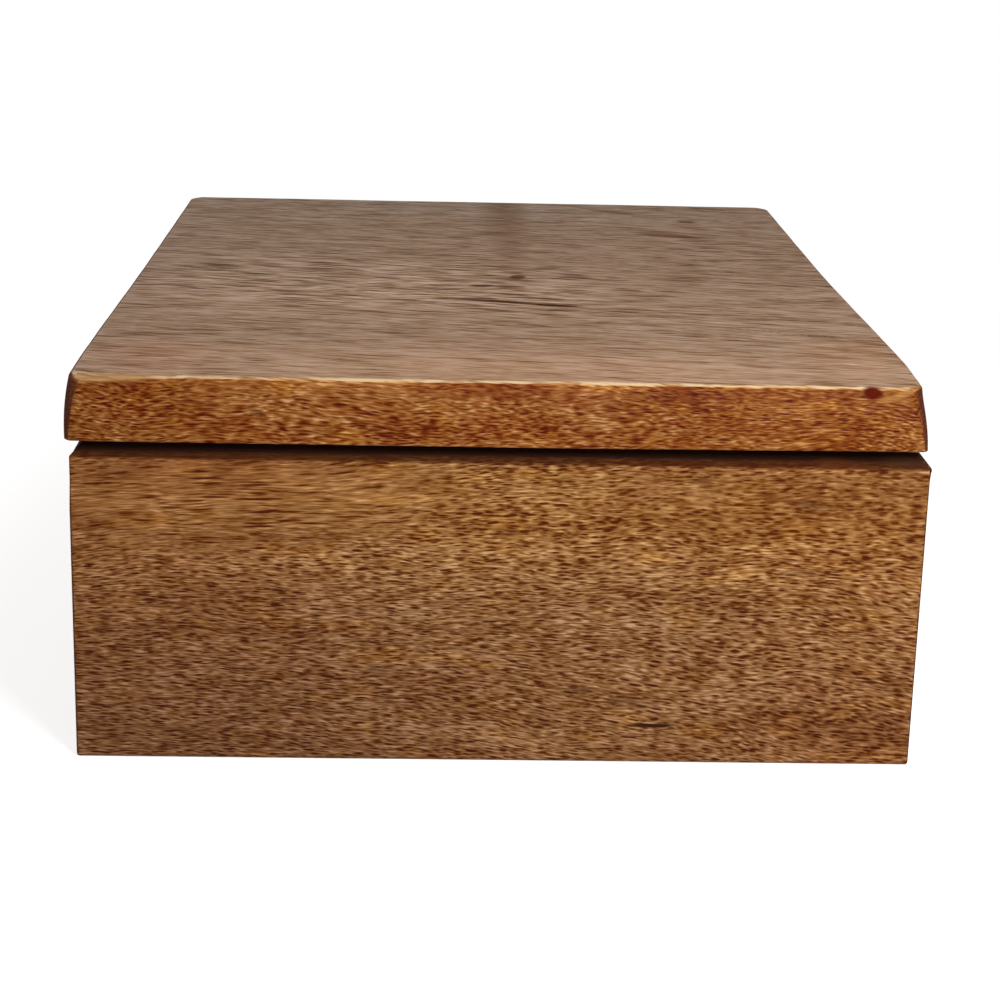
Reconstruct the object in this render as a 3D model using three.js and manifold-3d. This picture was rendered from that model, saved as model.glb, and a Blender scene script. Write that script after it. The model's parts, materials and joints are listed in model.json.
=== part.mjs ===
// A keepsake box of hardwood with a one-board lid on two brass butt hinges.
// Millimetres. X runs to the right of the box, Y from its front to its back, Z up.
// The origin is the middle of the underside.

import * as THREE from 'three';
import { mergeVertices } from 'three/addons/utils/BufferGeometryUtils.js';
import Module from 'manifold-3d';

const wasm = await Module();
wasm.setup();

// Driving dimensions of the case
const CASE_WIDTH = 200;
const CASE_DEPTH = 250;
const RIM_HEIGHT = 78;
const BOARD_THICKNESS = 12;
const BOTTOM_THICKNESS = 5;
const BOTTOM_REBATE = 6;        // how far the bottom panel is let into each board
const RIM_BEVEL = 3.6;          // legs of the 45 degree bevel round the rim's outer edge
const BEVEL_SOFTENING = 2;      // radius that blends the bevel into the upright face
const FOOT_EASE = 1.2;          // radius of the outer bottom edge
const CORNER_EASE = 0.9;        // radius of the four upright corners
const GLUE_LINE = 0.1;          // space between two glued faces

// Driving dimensions of the lid
const LID_THICKNESS = 15.2;
const LID_REVEAL = 0.3;         // space between the rim and the closed lid
const LID_SIDE_SHIFT = -1;      // the lid's place along X: it was screwed on a little to the left
const LID_LEAN = 2;             // how far each side leans in from bottom to top
const LID_TOP_ROUND = 1.5;      // radius of the sanded top edge
const LID_ARRIS = 0.3;          // small flat on the sharp lower edge
const LID_CORNER_LOW = 1.2;     // plan radius of the corners at the underside
const LID_CORNER_HIGH = 2.6;    // plan radius of the corners at the top

// Driving dimensions of the hinges
const HINGE_LENGTH = 25;
const HINGE_INSET = 40;         // from the side of the case to the middle of the hinge
const PIN_INSET = 1.8;          // from the back face in to the middle of the pin
const PIN_RADIUS = 0.8;
const PIN_PLAY = 0.15;          // space round the pin
const PIN_END_ROUND = 0.3;
const LEAF_THICKNESS = 1;
const LEAF_REACH = 8.5;         // from the middle of the pin to the leaf's free edge
const LEAF_CORNER = 1;
const KNUCKLE_COUNT = 5;
const KNUCKLE_GAP = 0.2;
const SEAM_DEGREES = 186;       // how far round each strip is rolled, counted from the outside
const POCKET_PLAY = 0.3;        // space round a leaf in its pocket

// Driving dimensions of the screws
const SCREW_LENGTH = 8;
const SCREW_HEAD_RADIUS = 1.9;
const SCREW_SHANK_RADIUS = 1;
const SCREW_HEAD_RIM = 0.15;    // height of the head's thin cylindrical rim
const SCREW_TIP = 2;            // length of the pointed end
const SCREW_TIP_RADIUS = 0.15;
const SCREW_SLOT_WIDTH = 0.5;
const SCREW_SLOT_DEPTH = 0.45;
const SCREW_MARGIN = 5.5;       // from the end of a leaf to the middle of its nearer screw
const SCREW_PLAY = 0.2;         // space round a screw
const SCREW_TURNS = [22, -38];  // degrees that the two slots of a leaf stand off the pin's line

// How far a cutting shape reaches past what it cuts
const OVERRUN = 3;

// Counts of the steps in round shapes
const ARC_STEPS = 5;
const LEAN_STEPS = 6;
const KNUCKLE_STEPS = 28;
const SWAGE_STEPS = 6;
const SCREW_STEPS = 20;

// Places worked out from the driving dimensions
const HALF_WIDTH = CASE_WIDTH / 2;
const HALF_DEPTH = CASE_DEPTH / 2;
const PIN_Y = HALF_DEPTH - PIN_INSET;
const PIN_Z = RIM_HEIGHT + LID_REVEAL / 2;
const HINGE_X = HALF_WIDTH - HINGE_INSET;
const BORE_RADIUS = PIN_RADIUS + PIN_PLAY;
const KNUCKLE_RADIUS = BORE_RADIUS + LEAF_THICKNESS;
const KNUCKLE_LENGTH = (HINGE_LENGTH - (KNUCKLE_COUNT - 1) * KNUCKLE_GAP) / KNUCKLE_COUNT;
const FLAT_LIMIT = KNUCKLE_RADIUS + POCKET_PLAY;    // where a leaf's plate ends beside the knuckles
const SWAGE_REACH = FLAT_LIMIT + LEAF_THICKNESS;    // where a strip starts to bend towards its knuckle
const SCREW_Y = -(LEAF_REACH + FLAT_LIMIT) / 2;

const QUARTER_TURN = Math.PI / 2;

// Boolean helpers

/** Turns a closed three.js geometry into a solid that can be cut and joined. */
function solidFrom(geometry) {
  const bare = geometry.clone();
  bare.deleteAttribute('normal');
  bare.deleteAttribute('uv');
  const merged = mergeVertices(bare);
  return new wasm.Manifold(new wasm.Mesh({
    numProp: 3,
    vertProperties: new Float32Array(merged.attributes.position.array),
    triVerts: new Uint32Array(merged.index.array),
  }));
}

/** Turns a solid back into a three.js geometry. */
function geometryFrom(solid) {
  const mesh = solid.getMesh();
  const geometry = new THREE.BufferGeometry();
  geometry.setAttribute('position', new THREE.BufferAttribute(mesh.vertProperties, 3));
  geometry.setIndex(new THREE.BufferAttribute(mesh.triVerts, 1));
  geometry.computeVertexNormals();
  return geometry;
}

/** A block between two corners, as a solid. */
function blockBetween(low, high) {
  const size = new THREE.Vector3().subVectors(high, low);
  const block = new THREE.BoxGeometry(size.x, size.y, size.z);
  const middle = new THREE.Vector3().addVectors(low, high).multiplyScalar(0.5);
  return solidFrom(block.translate(middle.x, middle.y, middle.z));
}

/** Extrudes an outline drawn in Y and Z along X, centred on X = middle. */
function extrudeAlongX(shape, length, middle) {
  const geometry = new THREE.ExtrudeGeometry(shape, { depth: length, bevelEnabled: false });
  geometry.translate(0, 0, -length / 2);
  const yzToWorld = new THREE.Matrix4().makeBasis(
    new THREE.Vector3(0, 1, 0), new THREE.Vector3(0, 0, 1), new THREE.Vector3(1, 0, 0),
  );
  return geometry.applyMatrix4(yzToWorld).translate(middle, 0, 0);
}

/** Points of an arc from one angle to another, both ends included. */
function arcPoints(centreU, centreV, radius, from, to, steps) {
  const points = [];
  for (let i = 0; i <= steps; i += 1) {
    const angle = from + (to - from) * i / steps;
    points.push(new THREE.Vector2(
      centreU + radius * Math.cos(angle), centreV + radius * Math.sin(angle),
    ));
  }
  return points;
}

/** The closed outline of a rectangle with round corners, counter-clockwise. */
function roundedRectangle(halfX, halfY, radius, steps) {
  const corners = [[1, 1], [-1, 1], [-1, -1], [1, -1]];
  return corners.flatMap(([sideX, sideY], turn) => arcPoints(
    sideX * (halfX - radius), sideY * (halfY - radius), radius,
    turn * QUARTER_TURN, (turn + 1) * QUARTER_TURN, steps,
  ));
}

/** The colour and gloss of one piece. */
function finish(colour, roughness, metalness = 0) {
  return new THREE.MeshStandardMaterial({ color: colour, roughness, metalness });
}

/** A named mesh from a geometry or a solid. */
function piece(name, shape, material) {
  const mesh = new THREE.Mesh(shape.isBufferGeometry ? shape : geometryFrom(shape), material);
  mesh.name = name;
  return mesh;
}

// Case boards

/**
 * The section of a case board: u runs from the outer face inwards, v upwards.
 * The outer foot is eased, the outer rim edge has a softened 45 degree bevel,
 * and the inner foot has the rebate for the bottom panel.
 */
function boardSection() {
  const eighth = Math.PI / 4;
  const blendLeg = BEVEL_SOFTENING * Math.tan(eighth / 2);
  const blendStart = RIM_HEIGHT - RIM_BEVEL - blendLeg;
  const foot = arcPoints(FOOT_EASE, FOOT_EASE, FOOT_EASE, -QUARTER_TURN, -Math.PI, ARC_STEPS);
  const blend = arcPoints(
    BEVEL_SOFTENING, blendStart, BEVEL_SOFTENING, Math.PI, Math.PI - eighth, ARC_STEPS,
  );
  return new THREE.Shape([
    new THREE.Vector2(BOARD_THICKNESS - BOTTOM_REBATE, 0),
    ...foot,
    ...blend,
    new THREE.Vector2(RIM_BEVEL, RIM_HEIGHT),
    new THREE.Vector2(BOARD_THICKNESS, RIM_HEIGHT),
    new THREE.Vector2(BOARD_THICKNESS, BOTTOM_THICKNESS + GLUE_LINE),
    new THREE.Vector2(BOARD_THICKNESS - BOTTOM_REBATE, BOTTOM_THICKNESS + GLUE_LINE),
  ]);
}

/**
 * A board with mitred ends. Each end point is drawn in by its own distance from the outer
 * face, which makes the end a 45 degree plane, and by half a glue line.
 */
function mitredBoard(length) {
  const geometry = extrudeAlongX(boardSection(), length, 0);
  const position = geometry.attributes.position;
  for (let i = 0; i < position.count; i += 1) {
    const side = Math.sign(position.getX(i));
    position.setX(i, side * (length / 2 - position.getY(i) - GLUE_LINE * Math.SQRT1_2));
  }
  return geometry;
}

/** The plan outline of the sanded case, as a tall prism that rounds the upright corners. */
function sandedCase() {
  const outline = roundedRectangle(HALF_WIDTH, HALF_DEPTH, CORNER_EASE, ARC_STEPS);
  const prism = new THREE.ExtrudeGeometry(new THREE.Shape(outline), {
    depth: RIM_HEIGHT + 2 * OVERRUN, bevelEnabled: false,
  });
  return solidFrom(prism.translate(0, 0, -OVERRUN));
}

/** A mitred board in its place, with its outer face square to the given heading. */
function placedBoard(length, x, y, heading) {
  const board = mitredBoard(length).rotateZ(heading).translate(x, y, 0);
  return solidFrom(board).intersect(sandedCase());
}

/** The panel that closes the case from below, flush with the boards' feet. */
function bottomPanel() {
  const margin = 2 * (BOARD_THICKNESS - BOTTOM_REBATE + GLUE_LINE);
  const panel = new THREE.BoxGeometry(
    CASE_WIDTH - margin, CASE_DEPTH - margin, BOTTOM_THICKNESS,
  );
  return panel.translate(0, 0, BOTTOM_THICKNESS / 2);
}

// Lid

/**
 * The lid's rings from the underside up, each with its inset, height and corner radius.
 * The sides rise upright, lean in along one long arc, and turn over the top edge in a
 * short arc that meets the leaning side and the flat top without a crease.
 */
function lidRings() {
  const leanAngle = 2 * Math.atan(LID_LEAN / (LID_THICKNESS - LID_TOP_ROUND - LID_ARRIS));
  const leanHeight = LID_THICKNESS - LID_TOP_ROUND * (1 - Math.sin(leanAngle)) - LID_ARRIS;
  const leanRadius = leanHeight / Math.sin(leanAngle);
  const side = arcPoints(
    leanRadius, LID_ARRIS, leanRadius, Math.PI, Math.PI - leanAngle, LEAN_STEPS,
  );
  const lastSide = side[side.length - 1];
  const edge = arcPoints(
    lastSide.x + LID_TOP_ROUND * Math.cos(leanAngle), LID_THICKNESS - LID_TOP_ROUND,
    LID_TOP_ROUND, Math.PI - leanAngle, QUARTER_TURN, ARC_STEPS,
  );
  const profile = [new THREE.Vector2(LID_ARRIS, 0), ...side, ...edge.slice(1)];
  return profile.map((point) => ({
    inset: point.x,
    height: point.y,
    radius: THREE.MathUtils.lerp(LID_CORNER_LOW, LID_CORNER_HIGH, point.y / LID_THICKNESS),
  }));
}

/** A closed solid lofted through rounded rectangles stacked one above the other. */
function stackedLoft(halfX, halfY, rings) {
  const outlines = rings.map((ring) => roundedRectangle(
    halfX - ring.inset, halfY - ring.inset, ring.radius, ARC_STEPS,
  ));
  const perRing = outlines[0].length;
  const positions = outlines.flatMap((outline, level) => outline.flatMap(
    (point) => [point.x, point.y, rings[level].height],
  ));
  const lowMiddle = outlines.length * perRing;
  const highMiddle = lowMiddle + 1;
  positions.push(0, 0, rings[0].height, 0, 0, rings[rings.length - 1].height);
  const faces = [];
  for (let i = 0; i < perRing; i += 1) {
    const next = (i + 1) % perRing;
    faces.push(lowMiddle, next, i);
    for (let level = 0; level + 1 < outlines.length; level += 1) {
      const low = level * perRing;
      const high = low + perRing;
      faces.push(low + i, low + next, high + next, low + i, high + next, high + i);
    }
    const top = (outlines.length - 1) * perRing;
    faces.push(highMiddle, top + i, top + next);
  }
  const geometry = new THREE.BufferGeometry();
  geometry.setAttribute('position', new THREE.Float32BufferAttribute(positions, 3));
  geometry.setIndex(faces);
  return geometry;
}

// Hinges. Each hinge is drawn about its own pin: X along the pin, Y to the back, Z up.
// side is -1 for the leaf let into the rim and 1 for the leaf let into the lid.

/** The middle line of a leaf's strip: flat, bent towards the knuckle, rolled round the pin. */
function stripLine(side) {
  const flatV = side * (LID_REVEAL + LEAF_THICKNESS) / 2;
  const rollRadius = BORE_RADIUS + LEAF_THICKNESS / 2;
  const seamAngle = THREE.MathUtils.degToRad(SEAM_DEGREES);
  const line = [new THREE.Vector2(-LEAF_REACH + LEAF_THICKNESS, flatV)];
  for (let i = 0; i <= SWAGE_STEPS; i += 1) {
    const along = i / SWAGE_STEPS;
    line.push(new THREE.Vector2(
      -SWAGE_REACH * (1 - along),
      THREE.MathUtils.lerp(flatV, side * rollRadius, THREE.MathUtils.smoothstep(along, 0, 1)),
    ));
  }
  const roll = arcPoints(
    0, 0, rollRadius, side * QUARTER_TURN, -side * seamAngle, KNUCKLE_STEPS,
  );
  return [...line, ...roll.slice(1)];
}

/** The outline of sheet metal of one thickness bent along a middle line. */
function bentSheet(line, thickness) {
  const left = [];
  const right = [];
  line.forEach((point, i) => {
    const before = line[Math.max(i - 1, 0)];
    const after = line[Math.min(i + 1, line.length - 1)];
    const along = new THREE.Vector2().subVectors(after, before).normalize();
    const across = new THREE.Vector2(-along.y, along.x).multiplyScalar(thickness / 2);
    left.push(new THREE.Vector2().addVectors(point, across));
    right.push(new THREE.Vector2().subVectors(point, across));
  });
  return new THREE.Shape([...left, ...right.reverse()]);
}

/** Middle of the knuckle with the given number, counted from the left end of the hinge. */
function knuckleMiddle(number) {
  return (number - (KNUCKLE_COUNT - 1) / 2) * (KNUCKLE_LENGTH + KNUCKLE_GAP);
}

/** The revolved shape of a screw whose head lies in the plane Z = 0 and whose point is below. */
function screwProfile(play) {
  const head = SCREW_HEAD_RADIUS + play;
  const shank = SCREW_SHANK_RADIUS + play;
  const neck = SCREW_HEAD_RIM + head - shank;
  const end = SCREW_LENGTH + play;
  return [
    new THREE.Vector2(0, -end),
    new THREE.Vector2(SCREW_TIP_RADIUS + play, -end),
    new THREE.Vector2(shank, -end + SCREW_TIP),
    new THREE.Vector2(shank, -neck),
    new THREE.Vector2(head, -SCREW_HEAD_RIM),
    new THREE.Vector2(head, 0),
  ];
}

/** Revolves a profile of radii and heights about the Z axis. */
function revolve(profile, steps) {
  return new THREE.LatheGeometry(profile, steps).rotateX(QUARTER_TURN);
}

/** A slotted countersunk screw, head up, with its slot turned by some degrees. */
function screw(degrees) {
  const body = revolve([...screwProfile(0), new THREE.Vector2(0, 0)], SCREW_STEPS);
  const slot = blockBetween(
    new THREE.Vector3(-SCREW_HEAD_RADIUS - OVERRUN, -SCREW_SLOT_WIDTH / 2, -SCREW_SLOT_DEPTH),
    new THREE.Vector3(SCREW_HEAD_RADIUS + OVERRUN, SCREW_SLOT_WIDTH / 2, OVERRUN),
  );
  const slotted = geometryFrom(solidFrom(body).subtract(slot));
  return slotted.rotateZ(THREE.MathUtils.degToRad(degrees));
}

/** The hole for a screw, open past its head. */
function screwHole() {
  const head = SCREW_HEAD_RADIUS + SCREW_PLAY;
  const profile = [
    ...screwProfile(SCREW_PLAY), new THREE.Vector2(head, OVERRUN), new THREE.Vector2(0, OVERRUN),
  ];
  return revolve(profile, SCREW_STEPS);
}

/** Places of the two screws of a leaf along the pin. */
const SCREW_PLACES = [SCREW_MARGIN - HINGE_LENGTH / 2, HINGE_LENGTH / 2 - SCREW_MARGIN];

/** Puts a screw or its hole into its leaf: upside down where the leaf is in the lid. */
function atScrewPlace(geometry, x, side) {
  const placed = geometry.clone();
  if (side > 0) placed.rotateX(Math.PI);
  return placed.translate(x, SCREW_Y, side * LID_REVEAL / 2);
}

/** One leaf: a plate with its own knuckles rolled from it and two countersunk holes. */
function hingeLeaf(side) {
  const halfLength = HINGE_LENGTH / 2;
  const plateDepth = LEAF_REACH - FLAT_LIMIT;
  const outline = roundedRectangle(halfLength, plateDepth / 2, LEAF_CORNER, ARC_STEPS);
  const plate = new THREE.ExtrudeGeometry(new THREE.Shape(outline), {
    depth: LEAF_THICKNESS, bevelEnabled: false,
  });
  const innerFace = side * LID_REVEAL / 2;
  plate.translate(0, SCREW_Y, side > 0 ? innerFace : innerFace - LEAF_THICKNESS);
  let leaf = solidFrom(plate);
  const strip = bentSheet(stripLine(side), LEAF_THICKNESS);
  for (let number = side > 0 ? 1 : 0; number < KNUCKLE_COUNT; number += 2) {
    leaf = leaf.add(solidFrom(extrudeAlongX(strip, KNUCKLE_LENGTH, knuckleMiddle(number))));
  }
  for (const x of SCREW_PLACES) {
    leaf = leaf.subtract(solidFrom(atScrewPlace(screwHole(), x, side)));
  }
  return geometryFrom(leaf);
}

/** The wire that the knuckles turn on, with its ends rounded over. */
function hingePin() {
  const half = HINGE_LENGTH / 2;
  const waist = PIN_RADIUS - PIN_END_ROUND;
  const profile = [
    new THREE.Vector2(0, -half),
    ...arcPoints(waist, PIN_END_ROUND - half, PIN_END_ROUND, -QUARTER_TURN, 0, ARC_STEPS),
    ...arcPoints(waist, half - PIN_END_ROUND, PIN_END_ROUND, 0, QUARTER_TURN, ARC_STEPS),
    new THREE.Vector2(0, half),
  ];
  return new THREE.LatheGeometry(profile, SCREW_STEPS).rotateZ(-QUARTER_TURN);
}

/** What is cut out of the rim or the lid for one leaf, its knuckles and its screws. */
function hingePocket(side) {
  const halfLength = HINGE_LENGTH / 2 + POCKET_PLAY;
  const face = LID_REVEAL / 2;
  const plateFloor = face + LEAF_THICKNESS + POCKET_PLAY;
  const troughFloor = KNUCKLE_RADIUS + POCKET_PLAY;
  const toBack = PIN_INSET + OVERRUN;
  const level = (v) => side * v;
  const plate = blockBetween(
    new THREE.Vector3(-halfLength, -LEAF_REACH - POCKET_PLAY, Math.min(level(plateFloor), 0)),
    new THREE.Vector3(halfLength, toBack, Math.max(level(plateFloor), 0)),
  );
  const trough = blockBetween(
    new THREE.Vector3(-halfLength, -SWAGE_REACH - POCKET_PLAY, Math.min(level(troughFloor), 0)),
    new THREE.Vector3(halfLength, toBack, Math.max(level(troughFloor), 0)),
  );
  return SCREW_PLACES.reduce(
    (pocket, x) => pocket.add(solidFrom(atScrewPlace(screwHole(), x, side))), plate.add(trough),
  );
}

// Assembly

const WALNUT_BROWN = 0x8a5a2e;
const HONEY_BROWN = 0x9a6833;
const LID_BROWN = 0x91602f;
const PANEL_BROWN = 0x7d5228;
const BRASS = 0xb5924c;
const BRASS_WIRE = 0xc2a15e;
const WOOD_ROUGHNESS = 0.42;
const PANEL_ROUGHNESS = 0.6;
const BRASS_ROUGHNESS = 0.3;

const hingeSides = [{ name: 'left_hinge', x: -HINGE_X }, { name: 'right_hinge', x: HINGE_X }];

const box = new THREE.Group();

// The case: four mitred boards and the bottom panel
const boards = new THREE.Group();
box.add(boards);

let backBoard = placedBoard(CASE_WIDTH, 0, HALF_DEPTH, Math.PI);
for (const { x } of hingeSides) {
  backBoard = backBoard.subtract(hingePocket(-1).translate([x, PIN_Y, PIN_Z]));
}

boards.add(
  piece('front_board', placedBoard(CASE_WIDTH, 0, -HALF_DEPTH, 0),
    finish(HONEY_BROWN, WOOD_ROUGHNESS)),
  piece('back_board', backBoard, finish(HONEY_BROWN, WOOD_ROUGHNESS)),
  piece('right_board', placedBoard(CASE_DEPTH, HALF_WIDTH, 0, QUARTER_TURN),
    finish(WALNUT_BROWN, WOOD_ROUGHNESS)),
  piece('left_board', placedBoard(CASE_DEPTH, -HALF_WIDTH, 0, -QUARTER_TURN),
    finish(WALNUT_BROWN, WOOD_ROUGHNESS)),
  piece('bottom_panel', bottomPanel(), finish(PANEL_BROWN, PANEL_ROUGHNESS)),
);

// The lid turns with everything in its group about the pins' axis
const lid = new THREE.Group();
lid.position.set(0, PIN_Y, PIN_Z);
box.add(lid);

const lidSlab = stackedLoft(HALF_WIDTH, HALF_DEPTH, lidRings());
lidSlab.translate(LID_SIDE_SHIFT, -PIN_Y, LID_REVEAL / 2);
let lidBoard = solidFrom(lidSlab);
for (const { x } of hingeSides) {
  lidBoard = lidBoard.subtract(hingePocket(1).translate([x, 0, 0]));
}
lid.add(piece('lid_board', lidBoard, finish(LID_BROWN, WOOD_ROUGHNESS)));

// The two hinges: one leaf, the pin and two screws stay with the case, the rest is the lid's
for (const { name, x } of hingeSides) {
  const caseHalf = new THREE.Group();
  caseHalf.position.set(x, PIN_Y, PIN_Z);
  box.add(caseHalf);
  const lidHalf = new THREE.Group();
  lidHalf.position.x = x;
  lid.add(lidHalf);
  caseHalf.add(piece(`${name}_base_leaf`, hingeLeaf(-1), finish(BRASS, BRASS_ROUGHNESS, 1)));
  caseHalf.add(piece(`${name}_pin`, hingePin(), finish(BRASS_WIRE, BRASS_ROUGHNESS, 1)));
  lidHalf.add(piece(`${name}_lid_leaf`, hingeLeaf(1), finish(BRASS, BRASS_ROUGHNESS, 1)));
  SCREW_PLACES.forEach((place, i) => {
    const caseScrew = atScrewPlace(screw(SCREW_TURNS[i]), place, -1);
    const lidScrew = atScrewPlace(screw(SCREW_TURNS[i]), place, 1);
    const number = i + 1;
    caseHalf.add(
      piece(`${name}_base_screw_${number}`, caseScrew, finish(BRASS, BRASS_ROUGHNESS, 1)),
    );
    lidHalf.add(
      piece(`${name}_lid_screw_${number}`, lidScrew, finish(BRASS, BRASS_ROUGHNESS, 1)),
    );
  });
}

export default box;
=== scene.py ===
# %% [markdown]
# Hinged keepsake box: the looks.
# The box is a case of four mitred boards, a thin bottom panel let in from below, and a thick lid cut
# from one board. Two small brass butt hinges join them at the back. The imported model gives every
# piece its size and place. This script dresses those pieces: it models the sanded timber again with
# fine meshes, eases the edges of the metal, and mixes the colours of wood and brass from noise.

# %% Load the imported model
import json
import math
from types import SimpleNamespace

import bmesh
import bpy
import numpy as np
from mathutils import Matrix, Vector

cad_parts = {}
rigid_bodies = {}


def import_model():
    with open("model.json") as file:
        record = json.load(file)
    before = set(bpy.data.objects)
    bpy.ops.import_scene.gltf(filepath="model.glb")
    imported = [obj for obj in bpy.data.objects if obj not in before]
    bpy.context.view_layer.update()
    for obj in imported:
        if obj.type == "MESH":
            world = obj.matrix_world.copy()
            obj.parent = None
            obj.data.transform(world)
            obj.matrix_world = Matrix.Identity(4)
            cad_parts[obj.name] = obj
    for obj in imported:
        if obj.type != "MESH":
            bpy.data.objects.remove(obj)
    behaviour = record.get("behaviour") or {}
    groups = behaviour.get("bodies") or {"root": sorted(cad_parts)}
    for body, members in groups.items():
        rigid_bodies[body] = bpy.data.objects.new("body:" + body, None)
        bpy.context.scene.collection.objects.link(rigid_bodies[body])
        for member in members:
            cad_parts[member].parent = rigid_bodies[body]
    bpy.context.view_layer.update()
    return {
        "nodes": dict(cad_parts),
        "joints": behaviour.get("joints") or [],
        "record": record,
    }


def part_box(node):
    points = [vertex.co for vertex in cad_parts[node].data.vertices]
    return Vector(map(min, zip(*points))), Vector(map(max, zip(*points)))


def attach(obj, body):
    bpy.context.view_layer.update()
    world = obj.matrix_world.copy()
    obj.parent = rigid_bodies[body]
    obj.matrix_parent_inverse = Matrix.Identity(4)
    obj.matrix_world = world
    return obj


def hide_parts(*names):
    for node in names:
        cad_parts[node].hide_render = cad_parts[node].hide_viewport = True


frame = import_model()
nodes = frame["nodes"]
MM = 0.001


def add_object(name, data):
    """A new object of the scene with this mesh, lamp or camera, at the origin."""
    thing = bpy.data.objects.new(name, data)
    bpy.context.scene.collection.objects.link(thing)
    return thing


# %% [markdown]
# The camera stands in front of the box and a little above it, a normal distance away for a photograph
# of a small object. Its place, heading, tilt and focal length were worked out from the corners of the
# photographed outline. The small roll keeps the lid's slope in the picture.
# One could also aim a camera with a constraint, but a plain matrix needs nothing else in the scene.

# %% Camera
CAMERA_PLACE = Vector((-0.0176, -0.6153, 0.2179))
CAMERA_HEADING = math.radians(1.98)
CAMERA_TILT = math.radians(15.73)
CAMERA_ROLL = math.radians(1.42)
FOCAL_LENGTH_MM = 79.8
SENSOR_MM = 36
SHIFT_DOWN = -0.0582
PICTURE_SIDE = 1000

camera = add_object("camera", bpy.data.cameras.new("camera"))
camera.data.sensor_width = SENSOR_MM
camera.data.lens = FOCAL_LENGTH_MM
camera.data.shift_y = SHIFT_DOWN
camera.matrix_world = (
    Matrix.Translation(CAMERA_PLACE)
    @ Matrix.Rotation(-CAMERA_HEADING, 4, "Z")
    @ Matrix.Rotation(math.pi / 2 - CAMERA_TILT, 4, "X")
    @ Matrix.Rotation(CAMERA_ROLL, 4, "Z")
)
bpy.context.scene.camera = camera
bpy.context.scene.view_settings.view_transform = "Standard"


def photo_point(pixel, normal, level):
    """The point of the plane normal . p = level that a pixel of the photograph looks at.

    The ray leaves the camera through the pixel; it meets the plane where its height along the
    normal equals the level.
    """
    scale = SENSOR_MM / FOCAL_LENGTH_MM / PICTURE_SIDE
    right = (pixel[0] - PICTURE_SIDE / 2) * scale
    up = (PICTURE_SIDE / 2 - pixel[1] + SHIFT_DOWN * PICTURE_SIDE) * scale
    ray = camera.matrix_world.to_3x3() @ Vector((right, up, -1))
    along = (level - CAMERA_PLACE.dot(Vector(normal))) / ray.dot(Vector(normal))
    return CAMERA_PLACE + along * ray


print("camera", [round(v, 3) for v in CAMERA_PLACE])

# %% [markdown]
# Every material here, and the light all round too, is a small net of shader nodes. This helper adds
# them with one short call for each kind.

# %% Node helper
class Nodes:
    """Adds nodes to one node tree."""

    def __init__(self, tree):
        self.tree = tree

    def add(self, kind, inputs=(), **settings):
        """A node with its settings and its inputs, given by socket name or number."""
        node = self.tree.nodes.new("ShaderNode" + kind)
        for name, value in settings.items():
            setattr(node, name, value)
        for socket, value in dict(inputs).items():
            self.put(node.inputs[socket], value)
        return node

    def put(self, socket, value):
        """Links an output to an input, or writes a plain value or a colour of three parts into it."""
        if isinstance(value, bpy.types.NodeSocket):
            self.tree.links.new(value, socket)
        elif socket.type == "RGBA":
            socket.default_value = (*value, 1)
        else:
            socket.default_value = value

    def math(self, operation, a, b=0.0, c=0.0):
        """One step of arithmetic on plain values."""
        return self.add("Math", {0: a, 1: b, 2: c}, operation=operation).outputs[0]

    def times(self, a, b):
        """The product of two values."""
        return self.math("MULTIPLY", a, b)

    def centred(self, value):
        """A value less one half, so that a noise swings evenly about zero."""
        return self.math("SUBTRACT", value, 0.5)

    def vector(self, operation, a, b=(0, 0, 0), scale=1.0):
        """A vector sum, product or length; SCALE reads the number and not the second vector."""
        node = self.add("VectorMath", {0: a, 1: b}, operation=operation)
        if operation == "SCALE":
            self.put(node.inputs["Scale"], scale)
        return node.outputs["Value" if operation == "LENGTH" else "Vector"]

    def ramp(self, value, low, high, to_low=0.0, to_high=1.0):
        """A smooth step from one value to another while the input goes from low to high."""
        inputs = {"Value": value, "From Min": low, "From Max": high, "To Min": to_low, "To Max": to_high}
        return self.add("MapRange", inputs, interpolation_type="SMOOTHSTEP").outputs["Result"]

    def noise(self, place, cell, detail, output=0):
        """Soft random values about one half; cell is the size of one patch along each axis."""
        scaled = self.vector("MULTIPLY", place, tuple(1 / side for side in cell))
        inputs = {"Vector": scaled, "Scale": 1.0, "Detail": detail, "Roughness": 0.5}
        return self.add("TexNoise", inputs).outputs[output]

    def total(self, *parts):
        """The sum of values, each times its weight."""
        result = 0.0
        for value, weight in parts:
            result = self.math("MULTIPLY_ADD", value, weight, result)
        return result

    def shades(self, tone, colours):
        """The colour of a tone from 0 to 1, between the given pairs of a tone and its colour."""
        node = self.add("ValToRGB", {"Fac": tone})
        elements = node.color_ramp.elements
        for position, _ in colours[1:-1]:
            elements.new(position)
        for element, (_, colour) in zip(elements, colours):
            element.color = (*colour, 1)
        return node.outputs[0]

    def mix(self, share, first, second, blend="MIX"):
        """A mixture of two colours."""
        inputs = {0: share, 6: first, 7: second}
        return self.add("Mix", inputs, data_type="RGBA", blend_type=blend).outputs[2]


# %% [markdown]
# The studio is plain: a pale floor, an even white surround, a soft lamp above on the right in front,
# and a weaker, wider one behind on the left. Together they light the front of the box so that a colour
# shows about as it is written. The surround is white for the camera only. As a light it is dim, and
# mirror-like rays see a dim grey that is brighter at the back, so it never floods the wood.

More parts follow.
